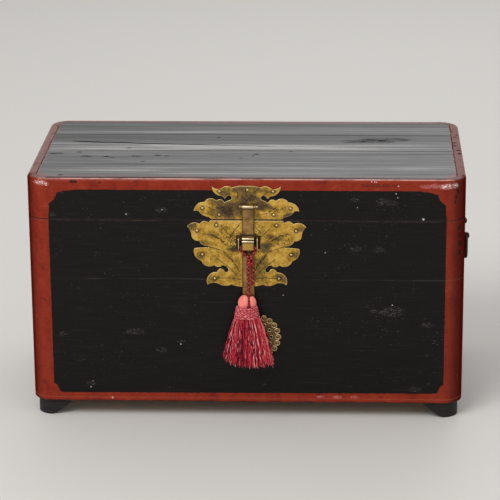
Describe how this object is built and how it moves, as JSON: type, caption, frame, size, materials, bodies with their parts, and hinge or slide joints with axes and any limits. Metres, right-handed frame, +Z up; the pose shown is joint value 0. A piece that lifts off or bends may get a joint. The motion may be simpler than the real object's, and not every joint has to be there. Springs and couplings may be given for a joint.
{
  "type": "lift-lid chest",
  "caption": "Lacquered wooden trunk with a lift lid, sheet-brass lock plates, a hinged hasp with a silk tassel, a pierced rosette, side bails and bracket feet.",
  "frame": {"origin": "on the floor, under the middle of the carcass", "axes": "+Z up; -Y is the front with the lock; +X is to the right of someone facing the front"},
  "size_m": [0.7888, 0.4551, 0.438],
  "materials": {
    "black_lacquer": "aged black lacquer, satin",
    "red_lacquer": "aged dark red lacquer, satin",
    "plain_wood": "bare pine, matt",
    "dark_wood": "dark stained wood, matt and worn",
    "brass": "aged sheet brass with brown patina",
    "aged_brass": "worn brown brass",
    "coral_silk": "glossy silk thread",
    "woven_silk": "woven silk",
    "crimson_silk": "silk thread"
  },
  "bodies": {
    "chest_body": {"bail_left_eyes": "brass", "bail_left_roses": "brass", "bail_right_eyes": "brass", "bail_right_roses": "brass", "body_back": "black_lacquer", "body_front": "black_lacquer", "body_left": "black_lacquer", "body_post_back_left": "red_lacquer", "body_post_back_right": "red_lacquer", "body_post_front_left": "red_lacquer", "body_post_front_right": "red_lacquer", "body_right": "black_lacquer", "bottom_board_back": "plain_wood", "bottom_board_front": "plain_wood", "ear_left": "brass", "ear_right": "brass", "foot_back_left": "dark_wood", "foot_back_right": "dark_wood", "foot_front_left": "dark_wood", "foot_front_right": "dark_wood", "hinge_body_nails": "brass", "hinge_left_body_leaf": "brass", "hinge_left_pin": "brass", "hinge_right_body_leaf": "brass", "hinge_right_pin": "brass", "lower_lock_plate": "brass", "lower_plate_nails": "brass", "rim_front": "plain_wood", "rim_left": "plain_wood", "rim_right": "plain_wood", "rosette_boss": "brass", "rosette_plate": "brass"},
    "lid": {"hasp_lugs": "brass", "hasp_pin": "brass", "hinge_left_lid_leaf": "brass", "hinge_lid_nails": "brass", "hinge_right_lid_leaf": "brass", "lid_back": "black_lacquer", "lid_batten_left": "plain_wood", "lid_batten_right": "plain_wood", "lid_front": "black_lacquer", "lid_left": "black_lacquer", "lid_plank_back": "black_lacquer", "lid_plank_front": "black_lacquer", "lid_plank_middle": "black_lacquer", "lid_post_back_left": "red_lacquer", "lid_post_back_right": "red_lacquer", "lid_post_front_left": "red_lacquer", "lid_post_front_right": "red_lacquer", "lid_right": "black_lacquer", "upper_lock_plate": "brass", "upper_plate_nails": "brass"},
    "hasp": {"hasp_strap": "aged_brass"},
    "tassel": {"tassel_binding": "woven_silk", "tassel_cord": "crimson_silk", "tassel_head": "coral_silk", "tassel_skirt": "crimson_silk"},
    "bail_left": {"bail_left": "brass"},
    "bail_right": {"bail_right": "brass"}
  },
  "joints": [
    {"name": "lid_hinge", "type": "hinge", "parent": "chest_body", "child": "lid", "pos_m": [0, 0.2045, 0.366], "axis": [-1, 0, 0], "range_deg": [0, 100]},
    {"name": "hasp_pin_hinge", "type": "hinge", "parent": "lid", "child": "hasp", "pos_m": [0.0048, -0.206, 0.391], "axis": [-1, 0, 0], "range_deg": [0, 120]},
    {"name": "tassel_swing", "type": "hinge", "parent": "hasp", "child": "tassel", "pos_m": [0.0048, -0.2104, 0.3215], "axis": [-1, 0, 0], "range_deg": [0, 75]},
    {"name": "left_bail_swing", "type": "hinge", "parent": "chest_body", "child": "bail_left", "pos_m": [-0.3886, 0, 0.292], "axis": [0, 1, 0], "range_deg": [0, 90]},
    {"name": "right_bail_swing", "type": "hinge", "parent": "chest_body", "child": "bail_right", "pos_m": [0.3886, 0, 0.292], "axis": [0, -1, 0], "range_deg": [0, 90]}
  ]
}
